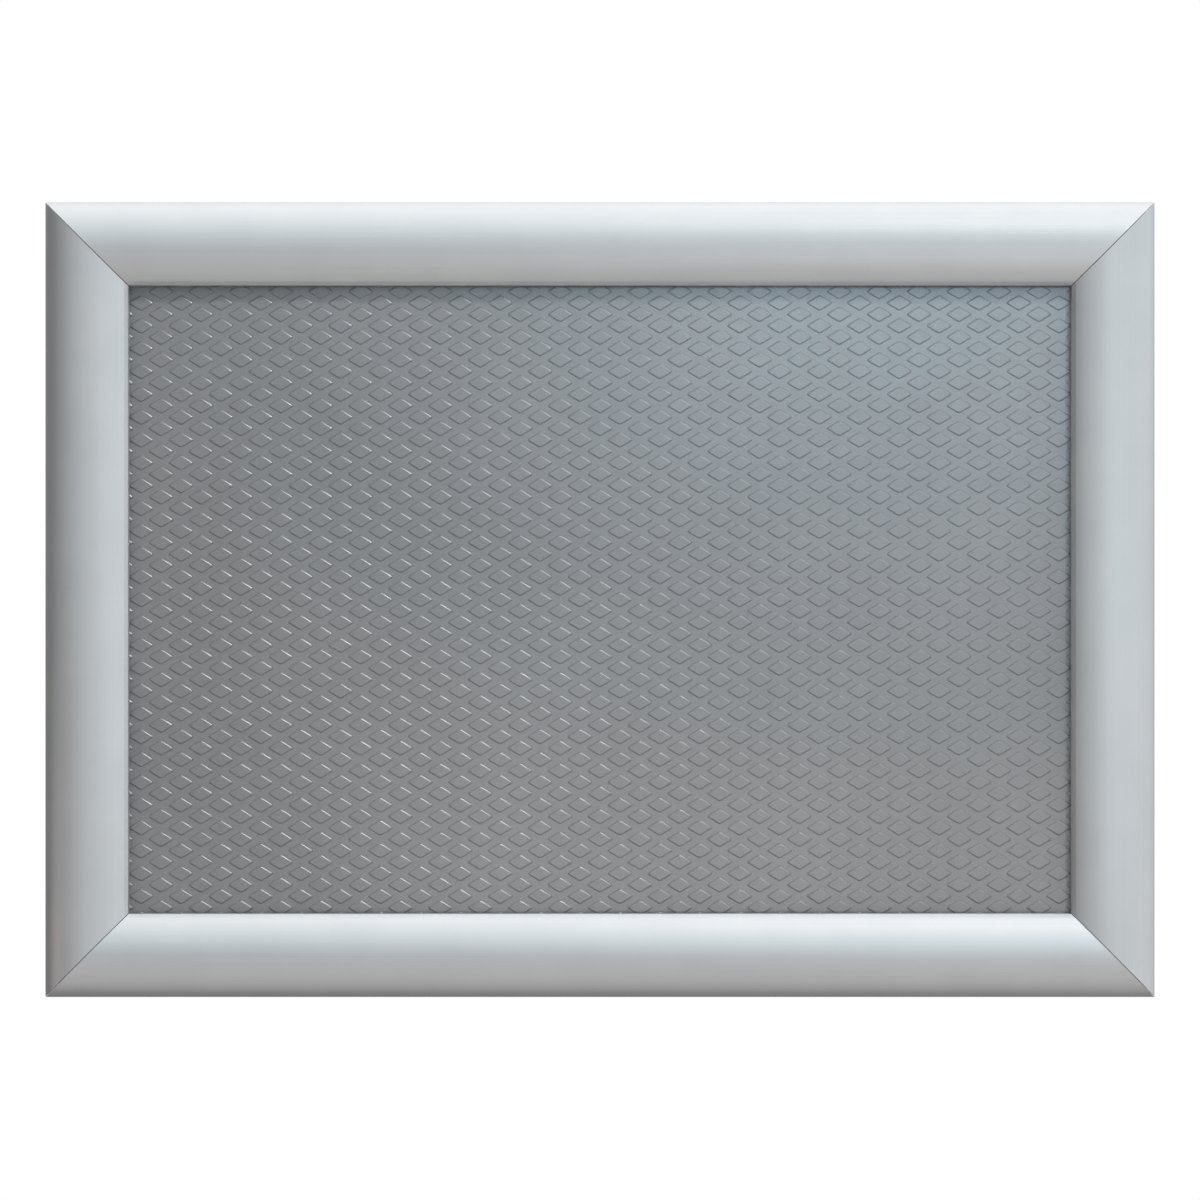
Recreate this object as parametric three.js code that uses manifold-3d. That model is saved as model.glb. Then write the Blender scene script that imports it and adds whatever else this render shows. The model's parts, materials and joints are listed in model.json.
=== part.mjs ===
// Aluminium snap frame for an A4 poster. Four mitred base rails hold a back panel, and four clip rails,
// hinged along the outer edge and held by leaf springs, close over the edges of a clear cover sheet.
//
// Millimetres. The frame stands upright with +Z up, its back on a wall in the plane y = 0 and its front
// facing -Y. The origin is the middle of the frame, in the plane of the wall.
//
// Every section is drawn in two coordinates: inset, inward from the frame's outer edge, and height,
// forward from the wall. In a rail's own axes x runs along the rail, y is inset and z is height.

import * as THREE from 'three';
import { mergeVertices } from 'three/addons/utils/BufferGeometryUtils.js';
import Module from 'manifold-3d';

const wasm = await Module();
wasm.setup();

// Whole frame
const frameWidth = 330;
const frameHeight = 236.5;
const frameDepth = 12;
const railWidth = 25;

// Clearances
const mitreGap = 0.3;
const runningGap = 0.3;
const edgeGap = 0.3;
const slideGap = 0.15;

// Clip rail: a convex shell with a rounded lip along its inner edge
const shellWall = 1.1;
const crownInset = 13;
const innerEdgeHeight = 7.8;
const lipWidth = 1.2;
const lipLand = 0.6;
const lipTilt = THREE.MathUtils.degToRad(48);

// Hinge: a bead under the clip rail's skirt turns in a socket along the base rail's outer edge
const beadRadius = 1;
const beadInset = 0.2;
const neckRise = 0.3;
const socketWall = 1;
const openAngle = 90;
const neckInnerAngle = 75;
const neckOuterAngle = 130;
const socketTipMargin = 25;

// Base rail
const backLip = 0.8;
const webWall = 1;
const channelWall = 1.3;
const channelLip = 2.2;
const grooveWall = 1;
const flangeReach = 2.8;
const ledgeReach = 4.8;
const ribWall = 0.9;
const ribRise = 1.5;

// Wall screw holes, countersunk from the front, in the top and bottom base rails
const screwSpacing = 200;
const screwHoleRadius = 2.25;
const countersinkRadius = 3.2;
const countersinkDepth = 0.8;

// Corner keys
const keyWidth = 11.8;
const keyThickness = 1;
const keyArm = 45;
const keyChamfer = 2;
const keyHoleRadius = 2;
const keyHoleInset = 9;

// Leaf springs, and the leg of the clip rail that they push on
const springWidth = 18;
const springThickness = 0.4;
const springRootRadius = 0.45;
const springBow = 0.8;
const springGap = 0.25;
const springEndGap = 0.2;
const springReach = 8.6;
const longSpringSpacing = 150;
const shortSpringSpacing = 90;
const legWall = 1;
const footLip = 0.6;
const clawLip = 0.8;
const clawMouth = 0.5;
const footMouth = 0.2;
const footChamfer = 0.15;

// Sheets
const panelThickness = 1;
const coverThickness = 0.5;

// Smoothness of the round stretches
const skirtSteps = 10;
const faceSteps = 8;
const lipSteps = 4;
const springSteps = 6;
const roundSides = 20;

// Heights of the base rail's layers, from the wall forward
const keyTop = backLip + keyThickness + 2 * slideGap;
const grooveTop = backLip + panelThickness + 2 * slideGap;
const webTop = Math.max(keyTop, grooveTop) + webWall;
const coverBottom = webTop + slideGap;
const lipBottom = coverBottom + coverThickness + runningGap;

// Hinge axis and socket
const socketInner = beadRadius + runningGap;
const socketOuter = socketInner + socketWall;
const hinge = new THREE.Vector2(beadRadius + beadInset, socketOuter);

// The clip rail's spring claw, seen from the hinge axis, and the seat that a spring pivots in. The seat is
// half the opening angle ahead of the claw, so that the spring passes its dead centre half way.
const clawHeight = webTop + runningGap + footLip + springGap + springThickness / 2;
const clawAngle = THREE.MathUtils.radToDeg(Math.asin((clawHeight - hinge.y) / springReach));
const claw = polar(hinge, springReach, clawAngle);
const seatAngle = clawAngle + openAngle / 2;
const seatDistance = socketOuter + springRootRadius;
const seat = polar(hinge, seatDistance, seatAngle);
const seatRadius = springRootRadius + springGap;
const springLength = seat.distanceTo(claw) - springEndGap;
const springTravel = springLength - (springReach - seatDistance);
const clawBottom = claw.x + springTravel + runningGap;
const legBack = clawBottom + legWall;

// Insets of the base rail's walls, from the outer edge inward
const channelStart = hinge.x + socketInner + channelWall;
const channelEnd = channelStart + keyWidth + 2 * edgeGap;
const channelMiddle = (channelStart + channelEnd) / 2;
const grooveStart = channelEnd + grooveWall;
const ribStart = legBack + runningGap;
const ribEnd = ribStart + ribWall;

// Materials
const anodised = { color: 0xc6cbce, metalness: 0.9, roughness: 0.36 };
const millFinish = { color: 0xb4b8ba, metalness: 0.9, roughness: 0.45 };
const zincPlate = { color: 0xa3a8aa, metalness: 0.9, roughness: 0.4 };
const springSteel = { color: 0x70757a, metalness: 0.9, roughness: 0.3 };
const greyPlastic = { color: 0x8c9297, metalness: 0, roughness: 0.5 };
const clearPlastic = { color: 0xf2f6f8, metalness: 0, roughness: 0.1, transparent: true, opacity: 0.15 };

function polar(centre, radius, degrees) {
  const angle = THREE.MathUtils.degToRad(degrees);
  return new THREE.Vector2(centre.x + radius * Math.cos(angle), centre.y + radius * Math.sin(angle));
}

function arc(centre, radius, fromDegrees, toDegrees, steps) {
  const points = [];
  for (let i = 0; i <= steps; i += 1) {
    points.push(polar(centre, radius, THREE.MathUtils.lerp(fromDegrees, toDegrees, i / steps)));
  }
  return points;
}

function point(inset, height) {
  return new THREE.Vector2(inset, height);
}

// Joining and cutting of closed solids
function solid(geometry) {
  const bare = geometry.clone();
  bare.deleteAttribute('normal');
  bare.deleteAttribute('uv');
  const merged = mergeVertices(bare);
  const corners = merged.index.array;
  const kept = [];
  for (let i = 0; i < corners.length; i += 3) {
    const [a, b, c] = corners.slice(i, i + 3);
    if (a !== b && b !== c && c !== a) {
      kept.push(a, b, c);
    }
  }
  const vertProperties = new Float32Array(merged.attributes.position.array);
  const triVerts = new Uint32Array(kept);
  return new wasm.Manifold(new wasm.Mesh({ numProp: 3, vertProperties, triVerts }));
}

function geometryOf(body) {
  const { vertProperties, triVerts } = body.getMesh();
  const geometry = new THREE.BufferGeometry();
  geometry.setAttribute('position', new THREE.BufferAttribute(new Float32Array(vertProperties), 3));
  geometry.setIndex(new THREE.BufferAttribute(new Uint32Array(triVerts), 1));
  geometry.computeVertexNormals();
  return geometry;
}

function join(...geometries) {
  return geometryOf(geometries.map(solid).reduce((whole, next) => whole.add(next)));
}

function cut(geometry, tools) {
  return geometryOf(tools.map(solid).reduce((whole, next) => whole.subtract(next), solid(geometry)));
}

// A section drawn out along a rail. halfLength gives the distance of its ends from the middle of the rail at
// each inset: constant for square ends, and falling with the inset for mitred ones.
function drawnOut(section, halfLength) {
  const geometry = new THREE.ExtrudeGeometry(new THREE.Shape(section), { depth: 1, bevelEnabled: false });
  const { position } = geometry.attributes;
  for (let i = 0; i < position.count; i += 1) {
    const inset = position.getX(i);
    const height = position.getY(i);
    const along = (2 * position.getZ(i) - 1) * halfLength(inset);
    position.setXYZ(i, along, inset, height);
  }
  return geometry;
}

function mitred(length) {
  return (inset) => length / 2 - inset - mitreGap * Math.SQRT1_2;
}

function square(length) {
  return () => length / 2;
}

// Outer surface of the clip rail: a quarter ellipse from the foot of its skirt to the crown, then an arc to
// the lip
function faceCurve() {
  const skirtFoot = hinge.y + beadRadius + neckRise;
  const rise = frameDepth - skirtFoot;
  const points = [];
  for (let i = 0; i <= skirtSteps; i += 1) {
    const turn = i / skirtSteps * Math.PI / 2;
    points.push(point(crownInset * (1 - Math.cos(turn)), skirtFoot + rise * Math.sin(turn)));
  }
  const faceEnd = railWidth - lipWidth;
  const faceRun = faceEnd - crownInset;
  const faceDrop = frameDepth - innerEdgeHeight;
  const faceRadius = (faceRun ** 2 + faceDrop ** 2) / (2 * faceDrop);
  const faceCentre = point(crownInset, frameDepth - faceRadius);
  const faceTilt = THREE.MathUtils.radToDeg(Math.atan2(faceRun, faceRadius - faceDrop));
  points.push(...arc(faceCentre, faceRadius, 90, 90 - faceTilt, faceSteps).slice(1));
  const lip = new THREE.QuadraticBezierCurve(
    point(faceEnd, innerEdgeHeight),
    point(railWidth, innerEdgeHeight - lipWidth * Math.tan(lipTilt)),
    point(railWidth, lipBottom + lipLand),
  );
  points.push(...lip.getPoints(lipSteps).slice(1), point(railWidth, lipBottom));
  return points;
}

// The same curve moved inward by the wall, along the normal at each point
function offsetCurve(points, distance) {
  return points.map((here, i) => {
    const before = points[Math.max(i - 1, 0)];
    const after = points[Math.min(i + 1, points.length - 1)];
    const along = after.clone().sub(before).normalize();
    return point(here.x + along.y * distance, here.y - along.x * distance);
  });
}

function shellSection() {
  const outer = faceCurve();
  const inner = offsetCurve(outer, shellWall);
  inner[inner.length - 1] = point(railWidth - shellWall, lipBottom);
  const neck = [
    polar(hinge, beadRadius, neckInnerAngle),
    polar(hinge, beadRadius / 2, neckInnerAngle),
    polar(hinge, beadRadius / 2, neckOuterAngle),
    polar(hinge, beadRadius, neckOuterAngle),
  ];
  return [...outer, ...inner.reverse(), ...neck];
}

// The leg under the crown, with the claw that holds the free ends of the springs
function legSection() {
  const legFront = legBack - shellWall;
  const legTop = frameDepth - 0.75 * shellWall;
  const footTop = claw.y - springThickness / 2 - springGap;
  const mouthShare = 1 - (springTravel + clawMouth) / springLength;
  const clawTop = claw.y + springRise(mouthShare) + springThickness / 2 + springGap;
  return [
    point(claw.x - footMouth, footTop - footLip),
    point(legBack, footTop - footLip),
    point(legBack, legTop),
    point(legFront, legTop),
    point(legFront, clawTop + clawLip),
    point(claw.x - clawMouth, clawTop + clawLip),
    point(claw.x - clawMouth, clawTop),
    point(clawBottom, clawTop),
    point(clawBottom, footTop),
    point(claw.x - footMouth + 2 * footChamfer, footTop),
    point(claw.x - footMouth, footTop - footChamfer),
  ];
}

// The bead stops short of the mitres, with square ends, so that it turns inside its own space
function hingeBead(length) {
  const beadLength = length - 2 * (hinge.x + beadRadius + edgeGap);
  const bead = new THREE.CylinderGeometry(beadRadius, beadRadius, beadLength, roundSides);
  return bead.rotateZ(Math.PI / 2).translate(0, hinge.x, hinge.y);
}

function clipRail(length) {
  const shell = drawnOut(shellSection(), mitred(length));
  const leg = drawnOut(legSection(), mitred(length));
  return join(shell, leg, hingeBead(length));
}

// Base rail: hinge socket, key channel open to the wall, panel groove, and the rib that centres the poster
function baseSection() {
  const lowTip = neckOuterAngle + openAngle + socketTipMargin;
  const webAngle = THREE.MathUtils.radToDeg(Math.asin((webTop - hinge.y) / socketOuter));
  const seatCut = triangleAngle(seatDistance, socketOuter, seatRadius);
  const seatWrap = triangleAngle(seatDistance, seatRadius, socketOuter);
  const seatBack = seatAngle + 180;
  const highTip = seatAngle + seatCut + 2;
  return [
    ...arc(hinge, socketOuter, lowTip, 270, 3),
    point(channelStart + channelLip, 0),
    point(channelStart + channelLip, backLip),
    point(channelStart, backLip),
    point(channelStart, keyTop),
    point(channelEnd, keyTop),
    point(channelEnd, backLip),
    point(channelEnd - channelLip, backLip),
    point(channelEnd - channelLip, 0),
    point(grooveStart + ledgeReach, 0),
    point(grooveStart + ledgeReach, backLip),
    point(grooveStart, backLip),
    point(grooveStart, grooveTop),
    point(grooveStart + flangeReach, grooveTop),
    point(grooveStart + flangeReach, webTop),
    point(ribEnd, webTop),
    point(ribEnd, webTop + ribRise),
    point(ribStart, webTop + ribRise),
    point(ribStart, webTop),
    ...arc(hinge, socketOuter, webAngle, seatAngle - seatCut, 3).slice(0, -1),
    ...arc(seat, seatRadius, seatBack + seatWrap, seatBack - seatWrap, 6),
    ...arc(hinge, socketInner, highTip, lowTip - 360, roundSides),
  ];
}

// Angle, in degrees, between the first two sides of a triangle that the third side faces
function triangleAngle(first, second, facing) {
  return THREE.MathUtils.radToDeg(Math.acos((first ** 2 + second ** 2 - facing ** 2) / (2 * first * second)));
}

function screwHole(along) {
  const start = keyTop - webWall;
  const end = webTop + webWall;
  const profile = [
    point(0, start),
    point(screwHoleRadius, start),
    point(screwHoleRadius, webTop - countersinkDepth),
    point(countersinkRadius, webTop),
    point(countersinkRadius, end),
    point(0, end),
  ];
  const hole = new THREE.LatheGeometry(profile, roundSides);
  return hole.rotateX(Math.PI / 2).translate(along, channelMiddle, 0);
}

function baseRail(length, screwPlaces) {
  return cut(drawnOut(baseSection(), mitred(length)), screwPlaces.map(screwHole));
}

// Height of a spring's bow at a share of its length from the root
function springRise(share) {
  return 4 * springBow * share * (1 - share);
}

// Leaf spring: a bowed strip with a rolled root, drawn with its root on the origin and its free end on +y
function leafSpring() {
  const lower = [];
  const upper = [];
  for (let i = 0; i <= springSteps; i += 1) {
    const share = i / springSteps;
    lower.push(point(share * springLength, springRise(share) - springThickness / 2));
    upper.push(point(share * springLength, springRise(share) + springThickness / 2));
  }
  const strip = drawnOut([...lower, ...upper.reverse()], square(springWidth));
  const root = new THREE.CylinderGeometry(springRootRadius, springRootRadius, springWidth, roundSides);
  return join(strip, root.rotateZ(Math.PI / 2));
}

// Corner key, drawn for a corner whose two outer edges are the x and y axes
function cornerKey() {
  const start = channelStart + edgeGap;
  const end = start + keyArm;
  const inner = start + keyWidth;
  const outline = new THREE.Shape([
    point(start, start),
    point(end - keyChamfer, start),
    point(end, start + keyChamfer),
    point(end, inner - keyChamfer),
    point(end - keyChamfer, inner),
    point(inner, inner),
    point(inner, end - keyChamfer),
    point(inner - keyChamfer, end),
    point(start + keyChamfer, end),
    point(start, end - keyChamfer),
  ]);
  const middle = start + keyWidth / 2;
  for (const [x, y] of [[end - keyHoleInset, middle], [middle, end - keyHoleInset]]) {
    outline.holes.push(new THREE.Path().absarc(x, y, keyHoleRadius, 0, 2 * Math.PI, true));
  }
  const settings = { depth: keyThickness, bevelEnabled: false, curveSegments: roundSides / 2 };
  return new THREE.ExtrudeGeometry(outline, settings);
}

function sheet(inset, thickness) {
  return new THREE.BoxGeometry(frameWidth - 2 * inset, frameHeight - 2 * inset, thickness);
}

function piece(name, geometry, finish) {
  const mesh = new THREE.Mesh(geometry, new THREE.MeshStandardMaterial({ ...finish, flatShading: true }));
  mesh.name = name;
  return mesh;
}

// One side of the frame: base rail, clip rail and two springs, with x along the rail and y inward
function frameSide({ name, length, screwPlaces, springSpacing }) {
  const side = new THREE.Group();
  side.add(piece(`base_rail_${name}`, baseRail(length, screwPlaces), millFinish));
  side.add(piece(`clip_rail_${name}`, clipRail(length), anodised));
  [-1, 1].forEach((end, i) => {
    const spring = piece(`spring_${name}_${i + 1}`, leafSpring(), springSteel);
    spring.position.set(end * springSpacing / 2, seat.x, seat.y);
    spring.rotation.x = claw.clone().sub(seat).angle();
    side.add(spring);
  });
  return side;
}

// The whole frame is laid out flat, with z forward from the wall, and then stood up
const frame = new THREE.Group();
frame.rotation.x = Math.PI / 2;

const longRail = {
  length: frameWidth,
  edge: frameHeight / 2,
  screwPlaces: [-screwSpacing / 2, screwSpacing / 2],
  springSpacing: longSpringSpacing,
};
const shortRail = {
  length: frameHeight,
  edge: frameWidth / 2,
  screwPlaces: [],
  springSpacing: shortSpringSpacing,
};
const sides = [
  { name: 'bottom', ...longRail },
  { name: 'right', ...shortRail },
  { name: 'top', ...longRail },
  { name: 'left', ...shortRail },
];
sides.forEach((spec, quarter) => {
  const turn = quarter * Math.PI / 2;
  const side = frameSide(spec);
  side.position.set(spec.edge * Math.sin(turn), -spec.edge * Math.cos(turn), 0);
  side.rotation.z = turn;
  frame.add(side);
});

const corners = [
  { name: 'bottom_left', x: -1, y: -1 },
  { name: 'bottom_right', x: 1, y: -1 },
  { name: 'top_right', x: 1, y: 1 },
  { name: 'top_left', x: -1, y: 1 },
];
corners.forEach(({ name, x, y }, quarter) => {
  const key = piece(`corner_key_${name}`, cornerKey(), zincPlate);
  key.position.set(x * frameWidth / 2, y * frameHeight / 2, backLip + slideGap);
  key.rotation.z = quarter * Math.PI / 2;
  frame.add(key);
});

const panel = piece('back_panel', sheet(grooveStart + edgeGap, panelThickness), greyPlastic);
panel.position.z = backLip + slideGap + panelThickness / 2;
frame.add(panel);

const cover = piece('cover_sheet', sheet(ribEnd + edgeGap, coverThickness), clearPlastic);
cover.position.z = coverBottom + coverThickness / 2;
frame.add(cover);

export default frame;
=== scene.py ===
"""Looks of an aluminium snap frame for an A4 poster: satin anodised clip rails, extruded base rails, steel
corner keys and leaf springs, a clear cover sheet and a grey back panel embossed with diamonds.

Metres, +Z up, with the frame's back in the plane y = 0 and its front facing -Y. A rail is drawn in axes of
its own: x along the rail, y the inset from the frame's outer edge and z the height forward from the back.
"""

import json
import math

import bmesh
import bpy
from mathutils import Matrix, Vector


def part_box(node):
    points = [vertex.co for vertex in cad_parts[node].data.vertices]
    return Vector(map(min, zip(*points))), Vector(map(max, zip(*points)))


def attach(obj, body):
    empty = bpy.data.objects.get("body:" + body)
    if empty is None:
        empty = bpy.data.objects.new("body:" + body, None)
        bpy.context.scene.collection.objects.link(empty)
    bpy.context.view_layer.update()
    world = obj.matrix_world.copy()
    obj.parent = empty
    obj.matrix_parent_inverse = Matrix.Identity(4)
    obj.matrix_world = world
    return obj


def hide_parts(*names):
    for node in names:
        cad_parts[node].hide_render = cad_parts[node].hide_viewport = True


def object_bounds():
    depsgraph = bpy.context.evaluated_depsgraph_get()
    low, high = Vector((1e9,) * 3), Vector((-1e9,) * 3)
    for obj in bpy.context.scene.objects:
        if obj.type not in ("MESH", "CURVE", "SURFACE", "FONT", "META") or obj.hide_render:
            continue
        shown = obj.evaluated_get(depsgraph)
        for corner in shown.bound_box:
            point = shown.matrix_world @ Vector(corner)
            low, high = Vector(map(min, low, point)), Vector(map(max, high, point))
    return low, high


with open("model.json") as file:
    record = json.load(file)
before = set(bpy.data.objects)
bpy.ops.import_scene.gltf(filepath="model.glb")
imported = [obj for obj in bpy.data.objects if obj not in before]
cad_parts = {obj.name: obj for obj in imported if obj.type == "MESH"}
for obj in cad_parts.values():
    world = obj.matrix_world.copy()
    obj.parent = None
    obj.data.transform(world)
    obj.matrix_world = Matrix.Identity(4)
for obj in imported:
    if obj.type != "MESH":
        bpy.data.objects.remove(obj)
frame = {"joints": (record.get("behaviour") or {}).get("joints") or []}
cad_lo, cad_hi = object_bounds()

MM = 0.001

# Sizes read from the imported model
frame_width = cad_hi.x - cad_lo.x
frame_height = cad_hi.z - cad_lo.z
frame_depth = cad_hi.y - cad_lo.y
panel_lo, panel_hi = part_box("back_panel")
cover_lo, cover_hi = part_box("cover_sheet")
key_lo, key_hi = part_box("corner_key_bottom_left")
clip_lo, clip_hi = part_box("clip_rail_bottom")
spring_lo, spring_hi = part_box("spring_bottom_1")
rail_width = clip_hi.z - clip_lo.z
joints = {joint["name"]: joint for joint in frame["joints"]}


def inset_and_height(name):
    """Where the axis of a joint on the bottom side lies in the section of the rails."""
    x, y, z = joints[name]["pos_m"]
    return Vector((z - cad_lo.z, cad_hi.y - y))


hinge = inset_and_height("clip_bottom_hinge")
seat = inset_and_height("springs_bottom_swing")

# Clearances
mitre_gap = 0.3 * MM
clip_mitre_gap = 0.14 * MM
running_gap = 0.3 * MM
edge_gap = 0.3 * MM
slide_gap = 0.15 * MM

# Clip rail
shell_wall = 1.1 * MM
crown_inset = 13 * MM
inner_edge_height = 8.5 * MM
lip_width = 1.1 * MM
lip_tilt = math.radians(47)
lip_edge_radius = 0.15 * MM
lip_bottom = cad_hi.y - cover_lo.y + running_gap
bead_radius = 1 * MM
bead_chamfer = bead_radius / 5
neck_root_radius = bead_radius / 2
neck_rise = 0.3 * MM
neck_inner_angle = 75
neck_outer_angle = 130

# Claw under the clip rail's crown
foot_lip = 0.6 * MM
leg_wall = 1 * MM
claw_lip = 0.8 * MM
claw_mouth = 0.5 * MM
foot_mouth = 0.2 * MM
foot_chamfer = 0.15 * MM

# Leaf spring
spring_width = spring_hi.x - spring_lo.x
spring_thickness = 0.4 * MM
spring_root_radius = 0.45 * MM
spring_bow = 0.8 * MM
spring_gap = 0.25 * MM
spring_end_gap = 0.2 * MM
spring_reach = 8.6 * MM
spring_spacing = {"bottom": 150 * MM, "top": 150 * MM, "left": 90 * MM, "right": 90 * MM}

# Base rail
socket_inner = bead_radius + running_gap
socket_outer = hinge.y
back_lip = 0.8 * MM
web_wall = 1 * MM
channel_wall = 1.3 * MM
channel_lip = 2.2 * MM
groove_wall = 1 * MM
flange_reach = 2.8 * MM
ledge_reach = 4.8 * MM
rib_wall = 0.9 * MM
rib_rise = 1.5 * MM
low_tip_angle = 245
high_tip_margin = 2
screw_spacing = 200 * MM
screw_hole_radius = 2.25 * MM
countersink_radius = 3.2 * MM
countersink_depth = 0.8 * MM
countersink_overrun = 0.05 * MM

# Corner key
key_width = 11.8 * MM
key_arm = key_hi.x - key_lo.x
key_chamfer = 2 * MM
key_hole_radius = 2 * MM
key_hole_inset = 9 * MM

# Embossed diamonds, in a staggered lattice that is centred on the panel
diamond_pitch = Vector((11.89 * MM, 6.8 * MM))
diamond_half = Vector((4.02 * MM, 2.44 * MM))
diamond_corner_cut = 0.13
diamond_corner_points = 3
diamond_sink = 0.45 * MM

# Edge of a diamond, as (inset, rise): a steep side, a chamfer and a soft end to it
diamond_edge = [(0, 0), (0.23 * MM, 0.36 * MM), (0.44 * MM, 0.445 * MM), (0.49 * MM, 0.45 * MM)]

# Edges that are broken or rounded
corner_radius = 0.18 * MM
fillet_radius = 3 * corner_radius
sheet_corner_radius = 2 * corner_radius
spring_end_radius = spring_thickness / 3
end_chamfer = 0.04 * MM
clip_end_chamfer = 0.07 * MM
most_of_a_side = 0.45

# Largest angle between faces that are shaded as one, in degrees
smooth_angle = 35
clip_smooth_angle = 12
panel_smooth_angle = 10

# Steps that round stretches are drawn in
corner_steps = 3
crown_steps = 36
face_steps = 24
lip_edge_steps = 5
socket_steps = 36
socket_end_steps = 8
seat_steps = 14
spring_steps = 24
turned_sides = 40
floor_sides = 96

# Heights of the base rail's layers
panel_thickness = panel_hi.y - panel_lo.y
key_thickness = key_hi.y - key_lo.y
key_top = back_lip + key_thickness + 2 * slide_gap
groove_top = back_lip + panel_thickness + 2 * slide_gap
web_top = max(key_top, groove_top) + web_wall

# Insets of the base rail's walls
channel_start = hinge.x + socket_inner + channel_wall
channel_end = channel_start + key_width + 2 * edge_gap
channel_middle = (channel_start + channel_end) / 2
groove_start = channel_end + groove_wall

# Claw, and the spring that reaches from its seat into the claw
claw_height = web_top + running_gap + foot_lip + spring_gap + spring_thickness / 2
claw = Vector((hinge.x + math.sqrt(spring_reach**2 - (claw_height - hinge.y) ** 2), claw_height))
seat_distance = (seat - hinge).length
seat_radius = spring_root_radius + spring_gap
spring_length = (claw - seat).length - spring_end_gap
spring_travel = spring_length - (spring_reach - seat_distance)
claw_bottom = claw.x + spring_travel + running_gap
leg_back = claw_bottom + leg_wall
rib_start = leg_back + running_gap
rib_end = rib_start + rib_wall

# Sides in the order of quarter turns, with each rail's length and its edge's distance from the middle
SIDES = {
    "bottom": (frame_width, frame_height / 2, 0),
    "right": (frame_height, frame_width / 2, 1),
    "top": (frame_width, frame_height / 2, 2),
    "left": (frame_height, frame_width / 2, 3),
}
CORNERS = {"bottom_left": 0, "bottom_right": 1, "top_right": 2, "top_left": 3}
STAND_UP = Matrix.Rotation(math.pi / 2, 4, "X")


def quarter_turn(quarter):
    return Matrix.Rotation(quarter * math.pi / 2, 4, "Z")


# Camera


def photo_camera():
    """Straight on, at the height of the frame's middle, with the outline as wide as in the photo."""
    photo_side = 1200
    left_edge, right_edge = 45.55, 1154.4
    middle_row = 599.6
    distance = 1.4
    outline_height = 3.6 * MM
    per_pixel = frame_width / (right_edge - left_edge)
    data = bpy.data.cameras.new("Camera")
    data.sensor_width = 36
    data.lens = data.sensor_width * distance / (per_pixel * photo_side)
    camera = bpy.data.objects.new("Camera", data)
    camera.location = (0, -outline_height - distance, (middle_row - photo_side / 2) * per_pixel)
    camera.rotation_euler = (math.pi / 2, 0, 0)
    bpy.context.scene.collection.objects.link(camera)
    bpy.context.scene.camera = camera


photo_camera()


# Sections


def point(inset, height, radius=0):
    """A corner of a section. A radius above 0 rounds it."""
    return Vector((inset, height, radius))


def polar(centre, radius, degrees):
    angle = math.radians(degrees)
    return point(centre.x + radius * math.cos(angle), centre.y + radius * math.sin(angle))


def arc(centre, radius, start, end, steps):
    return [polar(centre, radius, start + (end - start) * i / steps) for i in range(steps + 1)]


def bezier(a, b, c, steps):
    """A quadratic curve from a to c that leaves and arrives on the way to b."""
    shares = [i / steps for i in range(steps + 1)]
    return [a * (1 - s) ** 2 + b * (2 * s * (1 - s)) + c * s**2 for s in shares]


def rounded(corners):
    """The section's outline as 2-D points, with its corners rounded where they have a radius."""
    outline = []
    for i, corner in enumerate(corners):
        here = corner.xy
        before = corners[i - 1].xy - here
        after = corners[(i + 1) % len(corners)].xy - here
        if corner.z == 0:
            outline.append(here)
            continue
        half_angle = before.angle(after) / 2
        shorter = min(before.length, after.length)
        reach = min(corner.z / math.tan(half_angle), most_of_a_side * shorter)
        first = here + before.normalized() * reach
        last = here + after.normalized() * reach
        outline += bezier(first, here, last, corner_steps)
    return outline


def face_curve():
    """Outer surface of the clip rail: a quarter ellipse up to the crown, an arc down to the lip, and the
    lip, which is steeper and ends in a rounded edge."""
    foot = hinge.y + bead_radius + neck_rise
    rise = frame_depth - foot
    turns = [i / crown_steps * math.pi / 2 for i in range(crown_steps + 1)]
    curve = [point(crown_inset * (1 - math.cos(t)), foot + rise * math.sin(t)) for t in turns]
    face_end = rail_width - lip_width
    run = face_end - crown_inset
    drop = frame_depth - inner_edge_height
    radius = (run**2 + drop**2) / (2 * drop)
    tilt = math.degrees(math.atan2(run, radius - drop))
    centre = Vector((crown_inset, frame_depth - radius))
    curve += arc(centre, radius, 90, 90 - tilt, face_steps)[1:]
    fall = math.tan(lip_tilt)
    lip_corner = point(rail_width, inner_edge_height - fall * lip_width)
    lip_start = lip_corner + point(-1, fall) * lip_edge_radius
    lip_end = lip_corner - point(0, lip_edge_radius)
    curve += bezier(lip_start, lip_corner, lip_end, lip_edge_steps)
    return curve


def offset_curve(curve, distance):
    moved = []
    for i, here in enumerate(curve):
        along = (curve[min(i + 1, len(curve) - 1)] - curve[max(i - 1, 0)]).normalized()
        moved.append(point(here.x + along.y * distance, here.y - along.x * distance))
    return moved


def height_on(curve, inset):
    """Height of a curve with rising inset, at one inset."""
    for low, high in zip(curve, curve[1:]):
        if low.x <= inset <= high.x:
            return low.y + (high.y - low.y) * (inset - low.x) / (high.x - low.x)
    return curve[-1].y


def spring_rise(share):
    """Height of a spring's bow at a share of its length from the root."""
    return 4 * spring_bow * share * (1 - share)


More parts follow.
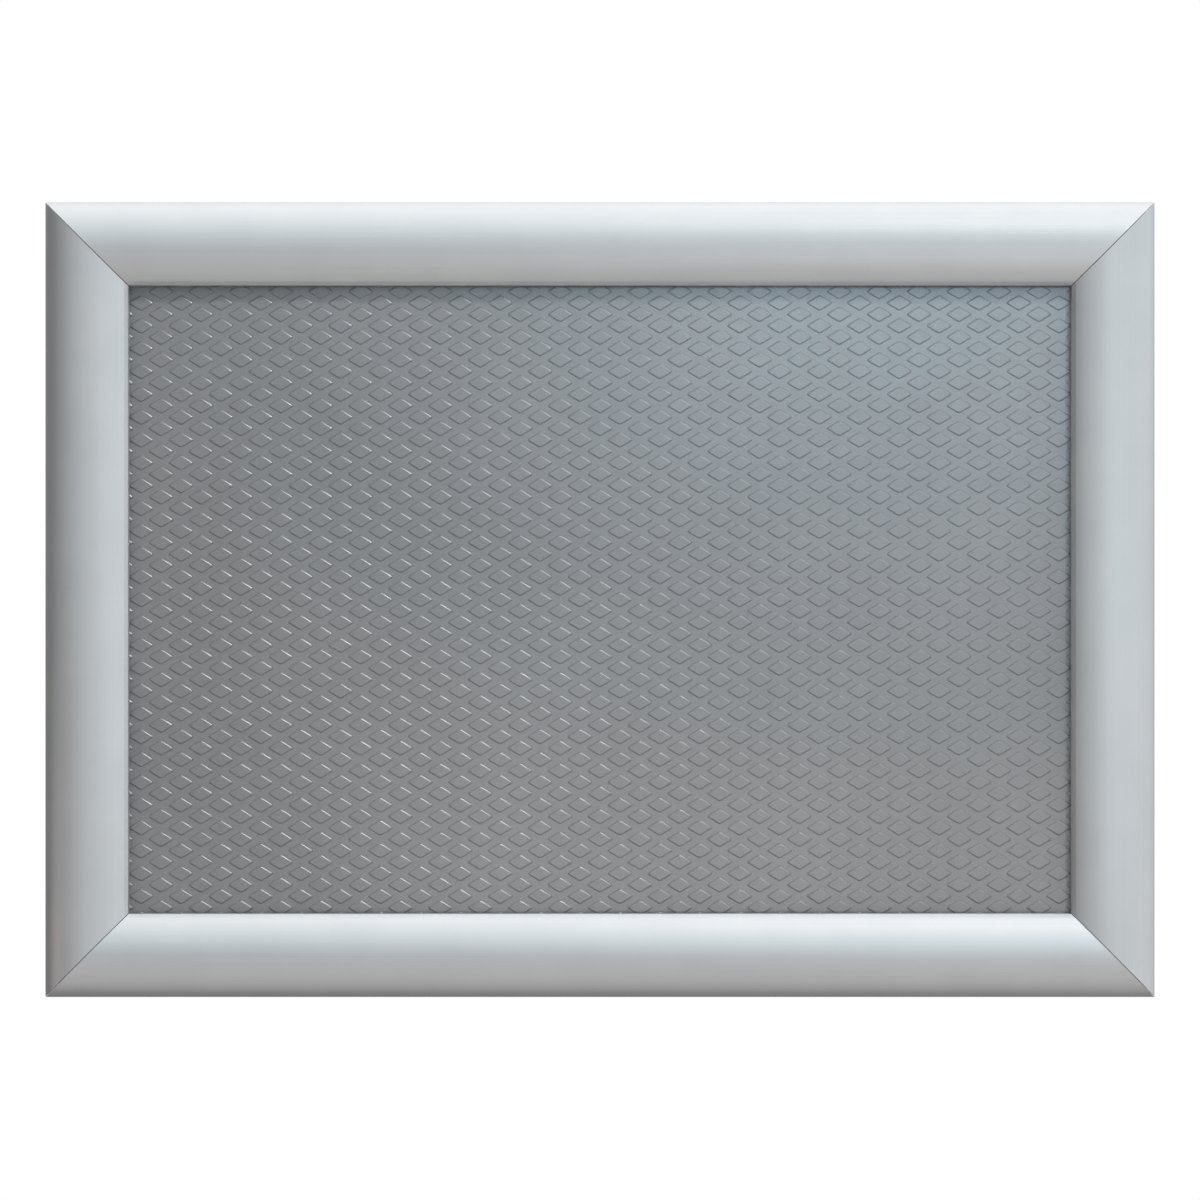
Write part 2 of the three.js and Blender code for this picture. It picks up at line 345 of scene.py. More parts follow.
def clip_section():
    """Shell, leg with claw, and the neck that the hinge bead hangs on."""
    outer = face_curve()
    inner = offset_curve(outer, shell_wall)
    leg_front = leg_back - shell_wall
    inside = [p for p in inner if leg_back < p.x < rail_width - shell_wall]
    outside = [p for p in inner if p.x < leg_front]
    foot_top = claw.y - spring_thickness / 2 - spring_gap
    mouth_share = 1 - (spring_travel + claw_mouth) / spring_length
    claw_top = claw.y + spring_rise(mouth_share) + spring_thickness / 2 + spring_gap
    tip = claw.x - claw_mouth
    fine = corner_radius
    leg = [
        point(leg_back, height_on(inner, leg_back), fillet_radius),
        point(leg_back, foot_top - foot_lip, fine),
        point(claw.x - foot_mouth, foot_top - foot_lip, fine),
        point(claw.x - foot_mouth, foot_top - foot_chamfer),
        point(claw.x - foot_mouth + 2 * foot_chamfer, foot_top),
        point(claw_bottom, foot_top),
        point(claw_bottom, claw_top),
        point(tip, claw_top, fine),
        point(tip, claw_top + claw_lip, fine),
        point(leg_front, claw_top + claw_lip, fine),
        point(leg_front, height_on(inner, leg_front), fillet_radius),
    ]
    neck = [
        polar(hinge, bead_radius, neck_inner_angle),
        polar(hinge, neck_root_radius, neck_inner_angle),
        polar(hinge, neck_root_radius, neck_outer_angle),
        polar(hinge, bead_radius, neck_outer_angle),
    ]
    lip = [point(rail_width, lip_bottom, fine), point(rail_width - shell_wall, lip_bottom, fine)]
    return rounded([*outer, *lip, *reversed(inside), *leg, *reversed(outside), *neck])


def facing_angle(first, second, facing):
    """Angle, in degrees, between two sides of a triangle that the third side faces."""
    return math.degrees(math.acos((first**2 + second**2 - facing**2) / (2 * first * second)))


def base_section():
    """Hinge socket, key channel open to the wall, panel groove and the rib that centres the poster."""
    web_angle = math.degrees(math.asin((web_top - hinge.y) / socket_outer))
    seat_angle = math.degrees(math.atan2(seat.y - hinge.y, seat.x - hinge.x))
    seat_cut = facing_angle(seat_distance, socket_outer, seat_radius)
    seat_wrap = facing_angle(seat_distance, seat_radius, socket_outer)
    seat_back = seat_angle + 180
    high_tip_angle = seat_angle + seat_cut + high_tip_margin
    ledge_end = groove_start + ledge_reach
    flange_end = groove_start + flange_reach
    fine = corner_radius
    return rounded([
        *arc(hinge, socket_outer, low_tip_angle, 270, socket_end_steps),
        point(channel_start + channel_lip, 0, fine),
        point(channel_start + channel_lip, back_lip, fine),
        point(channel_start, back_lip),
        point(channel_start, key_top),
        point(channel_end, key_top),
        point(channel_end, back_lip),
        point(channel_end - channel_lip, back_lip, fine),
        point(channel_end - channel_lip, 0, fine),
        point(ledge_end, 0, fine),
        point(ledge_end, back_lip, fine),
        point(groove_start, back_lip),
        point(groove_start, groove_top),
        point(flange_end, groove_top, fine),
        point(flange_end, web_top, fine),
        point(rib_end, web_top),
        point(rib_end, web_top + rib_rise, fine),
        point(rib_start, web_top + rib_rise, fine),
        point(rib_start, web_top),
        *arc(hinge, socket_outer, web_angle, seat_angle - seat_cut, socket_end_steps)[:-1],
        *arc(seat, seat_radius, seat_back + seat_wrap, seat_back - seat_wrap, seat_steps),
        *arc(hinge, socket_inner, high_tip_angle, low_tip_angle - 360, socket_steps),
    ])


def spring_section():
    """A bowed strip with a rolled root, its root on the origin and its free end on +y."""
    shares = [i / spring_steps for i in range(spring_steps + 1)]
    half = spring_thickness / 2
    line = [point(share * spring_length, spring_rise(share)) for share in shares]
    lower = [p - point(0, half) for p in line]
    upper = [p + point(0, half) for p in line]
    lower = [p for p in lower if p.length > spring_root_radius]
    upper = [p for p in upper if p.length > spring_root_radius]
    start = math.degrees(math.atan2(upper[0].y, upper[0].x))
    end = math.degrees(math.atan2(lower[0].y, lower[0].x)) + 360
    root = arc(Vector((0, 0)), spring_root_radius, start, end, spring_steps)
    lower[-1].z = upper[-1].z = spring_end_radius
    return rounded([*root, *lower, *reversed(upper)])


def key_section():
    """Outline of a corner key whose corner's two outer edges are the x and y axes."""
    start = channel_start + edge_gap
    end = start + key_arm
    inner = start + key_width
    soft = fillet_radius
    return rounded([
        point(start, start, soft),
        point(end - key_chamfer, start, soft),
        point(end, start + key_chamfer, soft),
        point(end, inner - key_chamfer, soft),
        point(end - key_chamfer, inner, soft),
        point(inner, inner, soft),
        point(inner, end - key_chamfer, soft),
        point(inner - key_chamfer, end, soft),
        point(start + key_chamfer, end, soft),
        point(start, end - key_chamfer, soft),
    ])


# Meshes


def mitred(length, gap):
    return lambda inset: length / 2 - inset - gap * math.sqrt(0.5)


def square(length):
    return lambda inset: length / 2


def inward(outline, distance):
    """The outline moved into its own material by a small distance."""
    area = sum(a.cross(b) for a, b in zip(outline, outline[1:] + outline[:1]))
    side = math.copysign(1, area)
    moved = []
    for i, here in enumerate(outline):
        before = (here - outline[i - 1]).normalized()
        after = (outline[(i + 1) % len(outline)] - here).normalized()
        normal = (before.orthogonal() + after.orthogonal()).normalized()
        moved.append(here + normal * side * distance)
    return moved


def new_object(name, bm):
    mesh = bpy.data.meshes.new(name)
    bmesh.ops.recalc_face_normals(bm, faces=bm.faces)
    bm.to_mesh(mesh)
    bm.free()
    made = bpy.data.objects.new(name, mesh)
    bpy.context.scene.collection.objects.link(made)
    return made


def drawn_out(name, outline, half_length, chamfer=end_chamfer):
    """A closed bar of this section along x, with a fine chamfer round both ends. Its texture coordinates
    run along the bar and around its section, in metres."""
    narrow = inward(outline, chamfer)
    rings = [(narrow, -1, 0), (outline, -1, chamfer), (outline, 1, chamfer), (narrow, 1, 0)]
    around = [0]
    for a, b in zip(outline, outline[1:] + outline[:1]):
        around.append(around[-1] + (b - a).length)
    bm = bmesh.new()
    layer = bm.loops.layers.uv.new("Rail")
    loops = []
    for points, end, back in rings:
        stations = [end * (half_length(p.x) - back) for p in points]
        loops.append([bm.verts.new((x, p.x, p.y)) for x, p in zip(stations, points)])
    count = len(outline)
    for low, high in zip(loops, loops[1:]):
        for i in range(count):
            j = (i + 1) % count
            face = bm.faces.new((low[i], low[j], high[j], high[i]))
            places = (around[i], around[i + 1], around[i + 1], around[i])
            for corner, place in zip(face.loops, places):
                corner[layer].uv = (corner.vert.co.x, place)
    for ring in (loops[0], loops[-1]):
        face = bm.faces.new(ring)
        for corner in face.loops:
            corner[layer].uv = corner.vert.co.yz
    return new_object(name, bm)


def turned(name, profile):
    """A closed solid turned about the x axis from (x, radius) points that start and end on the axis."""
    bm = bmesh.new()
    rings = []
    for x, radius in profile[1:-1]:
        angles = [2 * math.pi * i / turned_sides for i in range(turned_sides)]
        rings.append([bm.verts.new((x, radius * math.cos(a), radius * math.sin(a))) for a in angles])
    for low, high in zip(rings, rings[1:]):
        for i in range(turned_sides):
            j = (i + 1) % turned_sides
            bm.faces.new((low[i], low[j], high[j], high[i]))
    bm.faces.new(rings[0])
    bm.faces.new(rings[-1])
    return new_object(name, bm)


def combine(piece, tool, operation):
    """Joins another solid to a piece, or cuts it out of the piece."""
    modifier = piece.modifiers.new(operation, "BOOLEAN")
    modifier.operation = operation
    modifier.solver = "EXACT"
    modifier.object = tool
    settle(piece)
    bpy.data.objects.remove(tool)


def settle(piece):
    """Applies the piece's modifiers to its mesh."""
    view = bpy.context.evaluated_depsgraph_get()
    mesh = bpy.data.meshes.new_from_object(piece.evaluated_get(view), depsgraph=view)
    piece.modifiers.clear()
    piece.data = mesh


def smooth(piece, degrees):
    """Smooth shading between edges, with flat faces kept flat."""
    piece.data.shade_smooth()
    piece.data.set_sharp_from_angle(angle=math.radians(degrees))
    modifier = piece.modifiers.new("Flat faces", "WEIGHTED_NORMAL")
    modifier.keep_sharp = True
    settle(piece)


def dress(piece, place, body, cad_node, material, degrees=smooth_angle):
    """Puts a finished piece where its CAD node is, on the node's body."""
    smooth(piece, degrees)
    piece.data.transform(place)
    piece.data.materials.clear()
    piece.data.materials.append(material)
    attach(piece, body)
    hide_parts(cad_node)


def clip_rail(name, length):
    rail = drawn_out(name, clip_section(), mitred(length, clip_mitre_gap), clip_end_chamfer)
    half = length / 2 - hinge.x - bead_radius - edge_gap
    bead = turned(name + "_bead", [
        (-half, 0),
        (-half, bead_radius - bead_chamfer),
        (bead_chamfer - half, bead_radius),
        (half - bead_chamfer, bead_radius),
        (half, bead_radius - bead_chamfer),
        (half, 0),
    ])
    bead.data.transform(Matrix.Translation((0, hinge.x, hinge.y)))
    combine(rail, bead, "UNION")
    return rail


def screw_hole(along):
    """A countersunk hole's shape, from behind the web to in front of it. Its cone runs a little past the
    web, so that no edge of the shape lies in the web's face."""
    flare = (countersink_radius - screw_hole_radius) / countersink_depth
    widest = countersink_radius + flare * countersink_overrun
    hole = turned("hole", [
        (0, 0),
        (0, screw_hole_radius),
        (web_top - countersink_depth, screw_hole_radius),
        (web_top + countersink_overrun, widest),
        (web_top + web_wall, widest),
        (web_top + web_wall, 0),
    ])
    forward = Matrix.Rotation(-math.pi / 2, 4, "Y")
    hole.data.transform(Matrix.Translation((along, channel_middle, 0)) @ forward)
    return hole


def base_rail(name, length, screw_places):
    rail = drawn_out(name, base_section(), mitred(length, mitre_gap))
    for along in screw_places:
        combine(rail, screw_hole(along), "DIFFERENCE")
    return rail


def leaf_spring(name):
    return drawn_out(name, spring_section(), square(spring_width))


def corner_key(name):
    """Drawn with its thickness along x, like a bar, and laid flat afterwards."""
    key = drawn_out(name, key_section(), square(key_thickness))
    start = channel_start + edge_gap
    far = start + key_arm - key_hole_inset
    middle = start + key_width / 2
    for x, y in ((far, middle), (middle, far)):
        hole = turned("hole", [
            (-key_thickness, 0),
            (-key_thickness, key_hole_radius),
            (key_thickness, key_hole_radius),
            (key_thickness, 0),
        ])
        hole.data.transform(Matrix.Translation((0, x, y)))
        combine(key, hole, "DIFFERENCE")
    lay_flat = Matrix(((0, 1, 0, 0), (0, 0, 1, 0), (1, 0, 0, 0), (0, 0, 0, 1)))
    key.data.transform(lay_flat)
    return key


def cover_sheet(name):
    """A clear sheet with polished edges, drawn with its thickness along x and stood up afterwards."""
    half = (cover_hi - cover_lo) / 2
    corners = ((-1, -1), (1, -1), (1, 1), (-1, 1))
    outline = rounded([point(x * half.x, z * half.z, sheet_corner_radius) for x, z in corners])
    sheet = drawn_out(name, outline, square(2 * half.y))
    middle = (cover_lo.y + cover_hi.y) / 2
    stand = Matrix(((0, 1, 0, 0), (1, 0, 0, middle), (0, 0, 1, 0), (0, 0, 0, 1)))
    sheet.data.transform(stand)
    sheet.data.flip_normals()
    return sheet


def diamond_ring(share):
    """A diamond with blunt corners of a few points each, shrunk to a share of its size."""
    tips = [
        Vector((diamond_half.x, 0)),
        Vector((0, diamond_half.y)),
        Vector((-diamond_half.x, 0)),
        Vector((0, -diamond_half.y)),
    ]
    ring = []
    for i, tip in enumerate(tips):
        before = tip.lerp(tips[i - 1], diamond_corner_cut)
        after = tip.lerp(tips[(i + 1) % 4], diamond_corner_cut)
        ring += bezier(before, tip, after, diamond_corner_points - 1)
    return [p * share for p in ring]


def back_panel(name):
    """An embossed sheet, cut from a larger one: a lattice of rhombic cells, each with a raised diamond."""
    step = diamond_pitch / 2
    ground = panel_lo.y + diamond_sink
    inscribed = diamond_half.x * diamond_half.y / diamond_half.length
    rings = []
    for inset, rise in diamond_edge:
        rings.append((diamond_ring(1 - inset / inscribed), ground - rise))
    columns = math.ceil(panel_hi.x / step.x) + 1
    rows = math.ceil(panel_hi.z / step.y) + 1
    bm = bmesh.new()
    corners = {}
    for i in range(-columns - 1, columns + 2):
        for k in range(-rows - 1, rows + 2):
            if (i + k) % 2 == 0:
                corners[i, k] = bm.verts.new((i * step.x, ground, k * step.y))
    for i in range(-columns, columns + 1):
        for k in range(-rows, rows + 1):
            if (i + k) % 2 == 1:
                cell = [corners[i + 1, k], corners[i, k + 1], corners[i - 1, k], corners[i, k - 1]]
                raise_diamond(bm, cell, Vector((i * step.x, k * step.y)), rings)
    trim_sheet(bm)
    return new_object(name, bm)


def raise_diamond(bm, cell, centre, rings):
    """One cell's faces: the ground round the diamond, its slopes and its top. The ground is in four parts
    that meet at the middles of the diamond's corners."""
    loops = []
    for ring, y in rings:
        loops.append([bm.verts.new((centre.x + p.x, y, centre.y + p.y)) for p in ring])
    foot = loops[0]
    count = len(foot)
    for quarter in range(4):
        start = diamond_corner_points * quarter + diamond_corner_points // 2
        edge = [foot[(start + n) % count] for n in range(diamond_corner_points + 1)]
        bm.faces.new((cell[quarter], *edge, cell[(quarter + 1) % 4]))
    for low, high in zip(loops, loops[1:]):
        for i in range(count):
            j = (i + 1) % count
            bm.faces.new((low[i], low[j], high[j], high[i]))
    bm.faces.new(loops[-1])


def trim_sheet(bm):
    """Cuts the embossed surface to the panel's rectangle and closes it at the edges and the back."""
    for x, z in ((1, 0), (-1, 0), (0, 1), (0, -1)):
        everything = [*bm.verts, *bm.edges, *bm.faces]
        edge = (x * panel_hi.x, 0, z * panel_hi.z)
        bmesh.ops.bisect_plane(bm, geom=everything, plane_co=edge, plane_no=(x, 0, z), clear_outer=True)
    rim = [edge for edge in bm.edges if edge.is_boundary]
    walls = bmesh.ops.extrude_edge_only(bm, edges=rim)["geom"]
    for part in walls:
        if isinstance(part, bmesh.types.BMVert):
            part.co.y = panel_hi.y
    back = [part for part in walls if isinstance(part, bmesh.types.BMEdge) and part.is_boundary]
    bmesh.ops.holes_fill(bm, edges=back, sides=0)


# Materials


def node(tree, kind, inputs=None, **settings):
    """Adds a shader node, with its settings and with values or links for its inputs."""
    made = tree.nodes.new(kind)
    for key, value in settings.items():
        setattr(made, key, value)
    for key, value in (inputs or {}).items():
        if isinstance(value, bpy.types.NodeSocket):
            tree.links.new(value, made.inputs[key])
        else:
            made.inputs[key].default_value = value
    return made


def ramp(tree, factor, stops):
    """A colour ramp over (position, colour) stops."""
    made = node(tree, "ShaderNodeValToRGB", {"Fac": factor})
    elements = made.color_ramp.elements
    while len(elements) < len(stops):
        elements.new(0.5)
    for element, (position, colour) in zip(elements, stops):
        element.position = position
        element.color = (*colour, 1)
    return made.outputs["Color"]


def maths(tree, operation, first, second):
    return node(tree, "ShaderNodeMath", {0: first, 1: second}, operation=operation).outputs["Value"]


def share_between(tree, value, low, high, interpolation="LINEAR"):
    """How far a value is on the way from low to high, from 0 to 1."""
    inputs = {"Value": value, "From Min": low, "From Max": high}
    return node(tree, "ShaderNodeMapRange", inputs, interpolation_type=interpolation).outputs["Result"]


def spread(tree, share, low, high):
    """A share from 0 to 1 spread between two numbers."""
    inputs = {"Value": share, "To Min": low, "To Max": high}
    return node(tree, "ShaderNodeMapRange", inputs).outputs["Result"]


def noise(tree, vector, scale, detail=3):
    made = node(tree, "ShaderNodeTexNoise", {"Vector": vector, "Scale": scale, "Detail": detail})
    return made.outputs["Fac"]


def stretched(tree, vector, scale):
    return node(tree, "ShaderNodeMapping", {"Vector": vector, "Scale": scale}).outputs["Vector"]


def bump(tree, height, distance, under=None):
    """Surface relief of a height from 0 to 1 times a real distance, which may lie on another relief."""
    made = node(tree, "ShaderNodeBump", {"Height": height, "Distance": distance})
    if under:
        tree.links.new(under, made.inputs["Normal"])
    return made.outputs["Normal"]


def new_material(name):
    made = bpy.data.materials.new(name)
    made.use_nodes = True
    tree = made.node_tree
    return made, tree, tree.nodes["Principled BSDF"]


def extruded_metal(name, dark, light, roughness, line_depth):
    """Aluminium with faint die lines along the extrusion and a fine anodised grain."""
    line_scale = (6, 2600, 1)
    grain_scale = 5200
    cloud_scale = 55
    made, tree, shader = new_material(name)
    place = node(tree, "ShaderNodeUVMap", uv_map="Rail").outputs["UV"]
    lines = noise(tree, stretched(tree, place, line_scale), 1, 4)
    grain = noise(tree, place, grain_scale, 2)
    cloud = noise(tree, place, cloud_scale)
    mixed = maths(tree, "ADD", lines, grain)
    share = maths(tree, "DIVIDE", maths(tree, "ADD", mixed, cloud), 3)
    tree.links.new(ramp(tree, share, [(0.36, dark), (0.64, light)]), shader.inputs["Base Color"])
    tree.links.new(spread(tree, share, *roughness), shader.inputs["Roughness"])
    tree.links.new(bump(tree, mixed, line_depth), shader.inputs["Normal"])
    shader.inputs["Metallic"].default_value = 1
    return made


def zinc_plate(name):
    """Zinc plated steel: a bluish spangle with a dull sheen."""
    spangle_scale = 420
    grain_scale = 2400
    grain_depth = 0.006 * MM
    roughness = (0.3, 0.5)
    colours = [(0.1, (0.52, 0.54, 0.56)), (0.5, (0.68, 0.69, 0.68))]
    made, tree, shader = new_material(name)
    place = node(tree, "ShaderNodeTexCoord").outputs["Object"]
    voronoi = node(tree, "ShaderNodeTexVoronoi", {"Vector": place, "Scale": spangle_scale})
    grain = noise(tree, place, grain_scale, 4)
    share = maths(tree, "MULTIPLY", voronoi.outputs["Distance"], grain)
    tree.links.new(ramp(tree, share, colours), shader.inputs["Base Color"])
    tree.links.new(spread(tree, grain, *roughness), shader.inputs["Roughness"])
    tree.links.new(bump(tree, grain, grain_depth), shader.inputs["Normal"])
    shader.inputs["Metallic"].default_value = 1
    return made


def spring_steel(name):
    """Bright rolled strip, with rolling lines along its width and a faint oil tint."""
    line_scale = (40, 5000, 1)
    line_depth = 0.004 * MM
    tint_scale = 260
    roughness = (0.2, 0.4)
    colours = [(0.12, (0.33, 0.33, 0.35)), (0.45, (0.5, 0.5, 0.49))]
    made, tree, shader = new_material(name)
    place = node(tree, "ShaderNodeUVMap", uv_map="Rail").outputs["UV"]
    lines = noise(tree, stretched(tree, place, line_scale), 1)
    tint = noise(tree, place, tint_scale, 2)
    share = maths(tree, "MULTIPLY", lines, tint)
    tree.links.new(ramp(tree, share, colours), shader.inputs["Base Color"])
    tree.links.new(spread(tree, lines, *roughness), shader.inputs["Roughness"])
    tree.links.new(bump(tree, lines, line_depth), shader.inputs["Normal"])
    shader.inputs["Metallic"].default_value = 1
    return made


def grey_plastic(name):
    """Satin grey sheet that isn't quite flat, with a fine speckle and grain and slow changes of tone."""
    grain_scale = 2600
    grain_depth = 0.006 * MM
    cloud_scale = 14
    wave_scale = 130
    wave_depth = 0.08 * MM
    roughness = (0.26, 0.34)
    colours = [(0.35, (0.154, 0.147, 0.149)), (0.65, (0.191, 0.183, 0.186))]
    made, tree, shader = new_material(name)
    place = node(tree, "ShaderNodeTexCoord").outputs["Object"]
    grain = noise(tree, place, grain_scale)
    cloud = noise(tree, place, cloud_scale, 2)
    share = maths(tree, "DIVIDE", maths(tree, "ADD", grain, cloud), 2)
    tree.links.new(ramp(tree, share, colours), shader.inputs["Base Color"])
    tree.links.new(spread(tree, grain, *roughness), shader.inputs["Roughness"])
    waves = bump(tree, noise(tree, place, wave_scale, 1), wave_depth)
    tree.links.new(bump(tree, grain, grain_depth, waves), shader.inputs["Normal"])
    shader.inputs["Specular IOR Level"].default_value = 0.6
    return made


def clear_plastic(name):
    """Clear sheet with a non-glare face: see-through from the front, and a mirror when seen edge on."""
    haze_scale = 30
    roughness = (0.26, 0.34)
    tint = (0.985, 0.99, 0.99, 1)
    mirrored_face_on = 0.025
    edge_power = 5
    made, tree, shader = new_material(name)
    tree.nodes.remove(shader)
    place = node(tree, "ShaderNodeTexCoord").outputs["Object"]
    haze = noise(tree, place, haze_scale, 4)
    facing = node(tree, "ShaderNodeLayerWeight", {"Blend": 0.5}).outputs["Facing"]
    share = spread(tree, maths(tree, "POWER", facing, edge_power), mirrored_face_on, 1)
    gloss = node(tree, "ShaderNodeBsdfGlossy", {"Roughness": spread(tree, haze, *roughness)}).outputs[0]
    passed = node(tree, "ShaderNodeBsdfTransparent", {"Color": tint}).outputs[0]
    mixed = node(tree, "ShaderNodeMixShader", {0: share, 1: passed, 2: gloss}).outputs[0]
    tree.links.new(mixed, tree.nodes["Material Output"].inputs["Surface"])
    return made


anodised = extruded_metal(
    "Satin anodised",
    dark=(0.69, 0.705, 0.715),
    light=(0.76, 0.77, 0.775),
    roughness=(0.4, 0.5),
    line_depth=0.004 * MM,
)
mill_finish = extruded_metal(
    "Mill finish",
    dark=(0.6, 0.61, 0.62),
    light=(0.7, 0.71, 0.715),
    roughness=(0.34, 0.5),
    line_depth=0.01 * MM,
)
zinc = zinc_plate("Zinc plate")
steel = spring_steel("Spring steel")
grey = grey_plastic("Grey embossed")
clear = clear_plastic("Clear cover")


# Pieces


def rail_pieces(side):
    """Makes the base rail, clip rail and two springs of one side, and returns the clip rail."""
    length, edge, quarter = SIDES[side]
    place = STAND_UP @ quarter_turn(quarter) @ Matrix.Translation((0, -edge, 0))
    screws = (-screw_spacing / 2, screw_spacing / 2) if length == frame_width else ()
    base = base_rail(side + "_base", length, screws)
    dress(base, place, "base_frame", "base_rail_" + side, mill_finish)
    clip = clip_rail(side + "_clip", length)
    dress(clip, place, "clip_" + side, "clip_rail_" + side, anodised, clip_smooth_angle)
    swing = Matrix.Rotation(math.atan2(claw.y - seat.y, claw.x - seat.x), 4, "X")
    for number, end in ((1, -1), (2, 1)):
        spring = leaf_spring(f"{side}_spring_{number}")
        seated = Matrix.Translation((end * spring_spacing[side] / 2, seat.x, seat.y)) @ swing
        dress(spring, place @ seated, "springs_" + side, f"spring_{side}_{number}", steel)
    return clip


def corner_pieces(corner):
    quarter = CORNERS[corner]
    x = -frame_width / 2 if corner.endswith("left") else frame_width / 2
    y = -frame_height / 2 if corner.startswith("bottom") else frame_height / 2
    at = Matrix.Translation((x, y, cad_hi.y - (key_lo.y + key_hi.y) / 2))
    place = STAND_UP @ at @ quarter_turn(quarter)
    key = corner_key(corner + "_key")
    dress(key, place, "base_frame", "corner_key_" + corner, zinc)


clips = {side: rail_pieces(side) for side in SIDES}
for corner_name in CORNERS:
    corner_pieces(corner_name)
panel = back_panel("panel")
dress(panel, Matrix(), "base_frame", "back_panel", grey, panel_smooth_angle)
cover = cover_sheet("cover")
dress(cover, Matrix(), "base_frame", "cover_sheet", clear)


# Studio


def studio_world():
    """Soft surroundings for light and reflections: bright overhead and to the right, dim and warmer to
    the left, and dim below and behind. The backdrop is white for the camera, and in reflections and
    clear pieces too."""
    world = bpy.data.worlds.new("Studio")
    bpy.context.scene.world = world
    world.use_nodes = True
    tree = world.node_tree
    direction = node(tree, "ShaderNodeTexCoord").outputs["Generated"]
    axes = node(tree, "ShaderNodeSeparateXYZ", {"Vector": direction}).outputs
    sky = ramp(tree, share_between(tree, axes["Z"], -1, 1), [
        (0.0, (0.52, 0.52, 0.51)),
        (0.12, (0.75, 0.74, 0.735)),
        (0.4, (0.8, 0.775, 0.785)),
        (0.5, (0.53, 0.52, 0.525)),
        (0.56, (0.79, 0.865, 0.9)),
        (0.625, (0.97, 1.12, 1.17)),
        (0.75, (1.08, 1.18, 1.21)),
        (1.0, (1.68, 1.7, 1.73)),
    ])
    side = ramp(tree, share_between(tree, axes["X"], -1, 1), [
        (0.0, (0.22, 0.21, 0.205)),
        (0.25, (0.575, 0.56, 0.555)),
        (0.5, (0.84, 0.835, 0.835)),
        (0.8, (0.765, 0.755, 0.755)),
        (1.0, (1.06, 1.06, 1.06)),
    ])
    dim_way = Vector((-0.3, 0.65, -0.7)).normalized()
    dimmest = 0.42
    towards = node(tree, "ShaderNodeVectorMath", {0: direction, 1: dim_way}, operation="DOT_PRODUCT")
    dimmed = share_between(tree, towards.outputs["Value"], 0.5, 0.97, "SMOOTHSTEP")
    dim = spread(tree, dimmed, 1, dimmest)
    toned = node(tree, "ShaderNodeVectorMath", {0: sky, 1: side}, operation="MULTIPLY").outputs["Vector"]
    room = node(tree, "ShaderNodeVectorMath", {0: toned, "Scale": dim}, operation="SCALE").outputs["Vector"]
    backdrop = share_between(tree, axes["Y"], 0.975, 0.995, "SMOOTHSTEP")
    path = node(tree, "ShaderNodeLightPath").outputs
    mirrored = maths(tree, "MULTIPLY", path["Is Glossy Ray"], backdrop)
    seen = maths(tree, "MAXIMUM", path["Is Camera Ray"], path["Is Transmission Ray"])
    white = maths(tree, "MAXIMUM", seen, mirrored)
    colour = node(tree, "ShaderNodeMix", {0: white, 6: room, 7: (1, 1, 1, 1)}, data_type="RGBA").outputs[2]
    tree.links.new(colour, tree.nodes["Background"].inputs["Color"])


def softbox(name, place, size, power, colour, only_on=(), target=(0, 0, 0)):
    """An area lamp that faces the middle of the frame, or a target, and may light some pieces only."""
    data = bpy.data.lights.new(name, "AREA")
    data.shape = "RECTANGLE"
    data.size, data.size_y = size
    data.energy = power
    data.color = colour
    lamp = bpy.data.objects.new(name, data)
    lamp.location = place
    lamp.rotation_euler = (Vector(target) - Vector(place)).to_track_quat("-Z", "Y").to_euler()
    bpy.context.scene.collection.objects.link(lamp)
    if only_on:
        lit = bpy.data.collections.new(name + " lit")
        for piece in only_on:
            lit.objects.link(piece)
        lamp.light_linking.receiver_collection = lit
    return lamp


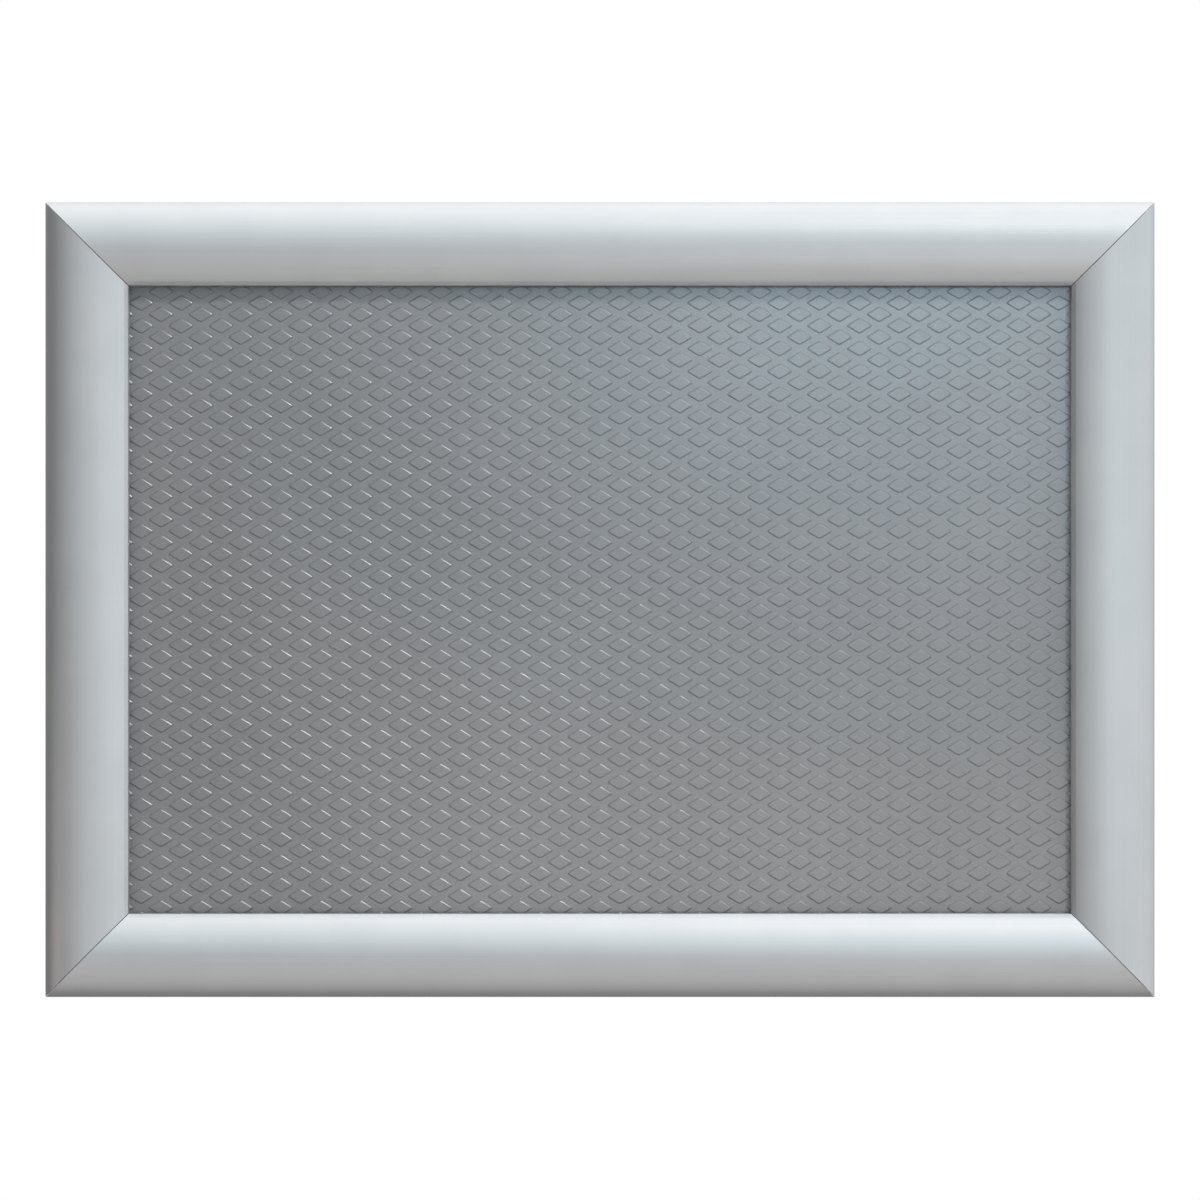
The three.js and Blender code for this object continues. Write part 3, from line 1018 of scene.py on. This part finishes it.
def pale_floor():
    """A round floor well below the frame, which hangs on a wall. It fades to the white backdrop."""
    radius = 1.3
    drop = 0.5
    fade_start = 0.3
    fade_end = 0.95 * radius
    bm = bmesh.new()
    bmesh.ops.create_circle(bm, cap_ends=True, segments=floor_sides, radius=radius)
    floor = new_object("floor", bm)
    floor.location.z = -drop
    made, tree, shader = new_material("Pale floor")
    place = node(tree, "ShaderNodeTexCoord").outputs["Object"]
    away = node(tree, "ShaderNodeVectorMath", {0: place}, operation="LENGTH").outputs["Value"]
    fade = share_between(tree, away, fade_start, fade_end, "SMOOTHSTEP")
    path = node(tree, "ShaderNodeLightPath").outputs
    seen = maths(tree, "MULTIPLY", fade, path["Is Camera Ray"])
    shader.inputs["Base Color"].default_value = (0.8, 0.8, 0.79, 1)
    shader.inputs["Roughness"].default_value = 0.9
    glow = node(tree, "ShaderNodeEmission", {"Color": (1, 1, 1, 1), "Strength": 1}).outputs[0]
    mixed = node(tree, "ShaderNodeMixShader", {0: seen, 1: shader.outputs[0], 2: glow}).outputs[0]
    tree.links.new(mixed, tree.nodes["Material Output"].inputs["Surface"])
    floor.data.materials.append(made)
    floor.visible_glossy = False


studio_world()
WHITE = (1, 1, 1)
DAYLIGHT = (0.97, 0.99, 1)
WARM = (1, 0.89, 0.8)
key_place = (0.35, -1.0, 0.9)
key_size = (0.1, 0.1)
key = softbox("Key", key_place, key_size, 7.8, (1, 0.99, 0.97))
key.visible_glossy = False
softbox("Rail gleam", key_place, key_size, 0.6, WHITE)

# Lamps for a few pieces, in place of what is round the frame and mirrored in it
glint = softbox("Glint", (0.27, -1.0, 0.6), (0.3, 0.3), 12, WHITE, [panel])
glint.visible_diffuse = False
softbox("Window", (0.16, -1.2, 0.21), (0.3, 0.12), 1.4, (0.52, 0.82, 1), [panel, cover])
softbox("Table", (0.1, -1.2, -0.21), (0.5, 0.1), 0.8, (1, 0.95, 0.91), [panel, cover])
softbox("Rail window", (0.4, -0.41, 0), (0.8, 0.24), 0.18, (0.8, 0.95, 1), clips.values(), (0.4, 0, 0))
softbox("Rail fill", (-0.68, -0.86, 0), (0.6, 0.6), 0.34, (0.95, 0.98, 1), [clips["right"]])
softbox("Overhead", (0, -0.08, 0.6), (0.5, 0.1), 0.22, DAYLIGHT, [clips["bottom"]], (0, 0, -0.1))
softbox("Far right", (0.75, -0.09, 0), (0.3, 0.1), 0.11, DAYLIGHT, [clips["left"]], (-0.14, 0, 0))
softbox("Low left", (-0.6, -0.15, -0.2), (0.2, 0.2), 0.06, WARM, [clips["left"]], (-0.15, 0, -0.1))
pale_floor()
bpy.context.scene.view_settings.view_transform = "Standard"
